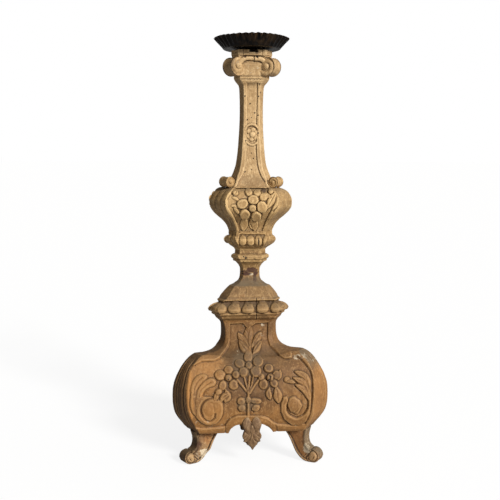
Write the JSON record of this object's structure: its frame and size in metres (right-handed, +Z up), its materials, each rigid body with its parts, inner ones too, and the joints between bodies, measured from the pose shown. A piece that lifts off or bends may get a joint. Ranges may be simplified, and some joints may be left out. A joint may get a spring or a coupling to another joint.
{
  "type": "altar candlestick",
  "caption": "Carved three-sided wooden candlestick on scroll feet, with a baluster stem and a crimped iron drip pan that lifts off a pricket spike.",
  "frame": {"origin": "on the floor, at the middle of the footprint's bounding rectangle", "axes": "+Z up along the candlestick, -Y out of the carved front face, +X to the right as seen from the front"},
  "size_m": [0.261, 0.227, 0.7073],
  "materials": {
    "base_wood": "bare aged carved softwood, warm brown, matte",
    "foot_wood": "bare aged carved wood with remains of grey-white gesso",
    "stem_wood": "bare aged carved wood, light tan, matte",
    "dowel_wood": "plain turned peg",
    "black_iron": "forged iron, blackened",
    "rusted_iron": "crimped sheet iron, blackened, with brown rust"
  },
  "bodies": {
    "candlestick": {"base_stave_front": "base_wood", "base_stave_right": "base_wood", "base_stave_left": "base_wood", "pendant_front": "base_wood", "pendant_right": "base_wood", "pendant_left": "base_wood", "base_cap": "base_wood", "foot_front_right": "foot_wood", "foot_rear": "foot_wood", "foot_front_left": "foot_wood", "stem_collar": "stem_wood", "gadroon_cup": "stem_wood", "knop": "stem_wood", "shaft": "stem_wood", "shoulder_scroll_front_right": "stem_wood", "shoulder_scroll_rear": "stem_wood", "shoulder_scroll_front_left": "stem_wood", "capital": "stem_wood", "capital_volute_front_right": "stem_wood", "capital_volute_rear": "stem_wood", "capital_volute_front_left": "stem_wood", "abacus": "stem_wood", "foot_dowel_front_right": "dowel_wood", "foot_dowel_rear": "dowel_wood", "foot_dowel_front_left": "dowel_wood", "base_dowel": "dowel_wood", "neck_dowel": "dowel_wood", "cup_dowel": "dowel_wood", "knop_dowel": "dowel_wood", "capital_dowel": "dowel_wood", "pricket_plate": "black_iron", "plate_nail_1": "black_iron", "plate_nail_2": "black_iron", "plate_nail_3": "black_iron", "pricket": "black_iron"},
    "pan": {"drip_pan": "rusted_iron"}
  },
  "joints": [
    {"name": "drip_pan_lift", "type": "slide", "parent": "candlestick", "child": "pan", "axis": [0, 0, 1], "range_m": [0, 0.06]}
  ]
}
